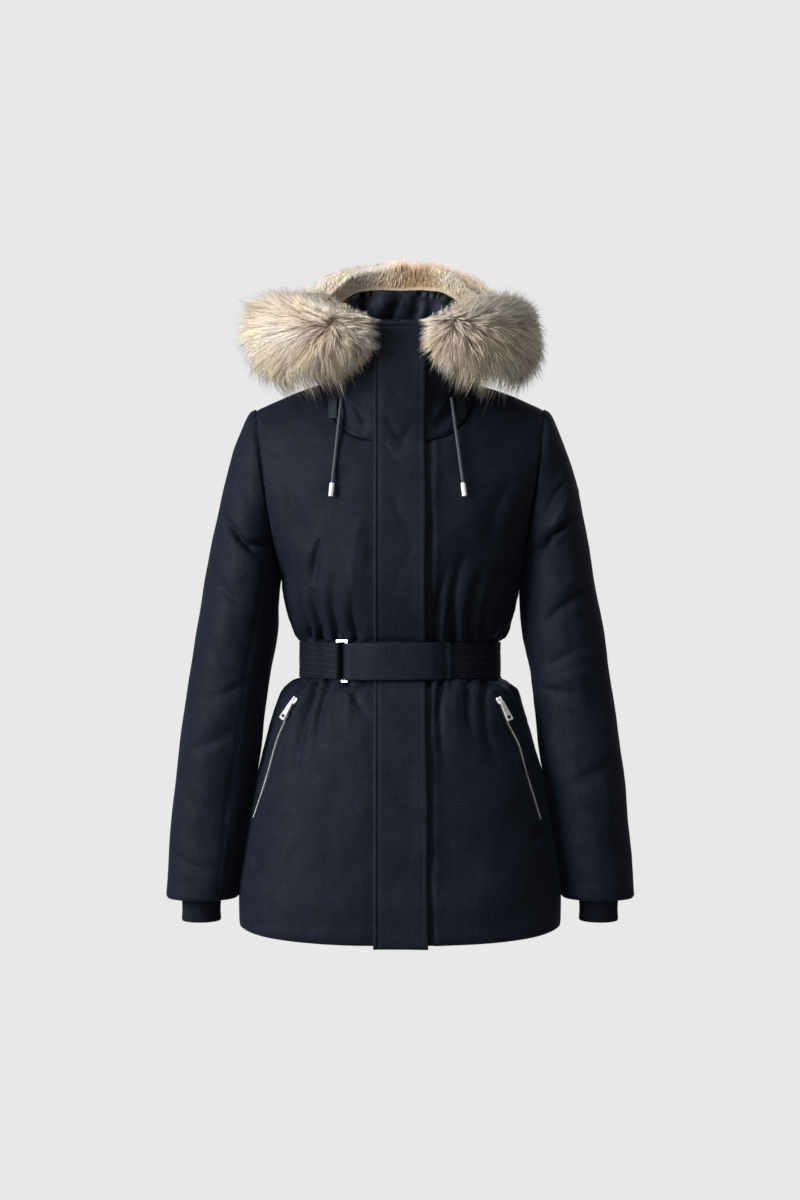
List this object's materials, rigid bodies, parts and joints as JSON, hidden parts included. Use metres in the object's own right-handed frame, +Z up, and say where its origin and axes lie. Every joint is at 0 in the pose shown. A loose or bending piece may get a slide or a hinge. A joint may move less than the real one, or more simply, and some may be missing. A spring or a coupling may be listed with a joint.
{
  "type": "fur trimmed parka",
  "caption": "Belted padded parka kept in its worn, hollow shape: hood down with a thick fur trim, covered front closing, slanted zip pockets, ribbed cuffs.",
  "frame": {"origin": "between the wearer's shoulders, at the height of the base of the neck", "axes": "+Z up, -Y out of the front, +X to the wearer's left"},
  "size_m": [0.6268, 0.3897, 0.9389],
  "materials": {
    "shell_cloth": "matt tightly woven padded shell, dark navy",
    "placket_cloth": "the same cloth with a greener cast, topstitched",
    "belt_cloth": "folded shell cloth in rows of stitching",
    "lining_cloth": "satin quilted lining",
    "fur": "long fur, cream tips on a grey brown undercoat",
    "rib_knit": "fine ribbed knit",
    "cord": "round woven cord",
    "zip_metal": "fine metal teeth",
    "polished_metal": "polished, with softened edges"
  },
  "bodies": {
    "coat": {"front_right": "shell_cloth", "front_left": "shell_cloth", "back": "shell_cloth", "sleeve_right": "shell_cloth", "sleeve_left": "shell_cloth", "hood_shell": "shell_cloth", "hood_lining": "lining_cloth", "fur_trim": "fur", "storm_flap": "placket_cloth", "belt": "belt_cloth", "buckle": "polished_metal", "cuff_right": "rib_knit", "pocket_zip_right": "zip_metal", "slider_right": "polished_metal", "cord_tab_right": "placket_cloth", "drawcord_right": "cord", "cord_end_right": "polished_metal", "cuff_left": "rib_knit", "pocket_zip_left": "zip_metal", "slider_left": "polished_metal", "cord_tab_left": "placket_cloth", "drawcord_left": "cord", "cord_end_left": "polished_metal"},
    "pull_tab_right": {"pull_right": "polished_metal"},
    "pull_tab_left": {"pull_left": "polished_metal"}
  },
  "joints": [
    {"name": "pull_right_swing", "type": "hinge", "parent": "coat", "child": "pull_tab_right", "pos_m": [-0.14215, -0.0791, -0.40325], "axis": [-0.506, 0.7816, 0.3649], "range_deg": [0, 150]},
    {"name": "pull_left_swing", "type": "hinge", "parent": "coat", "child": "pull_tab_left", "pos_m": [0.13346, -0.08759, -0.40313], "axis": [-0.6569, -0.7141, -0.2417], "range_deg": [0, 150]}
  ]
}
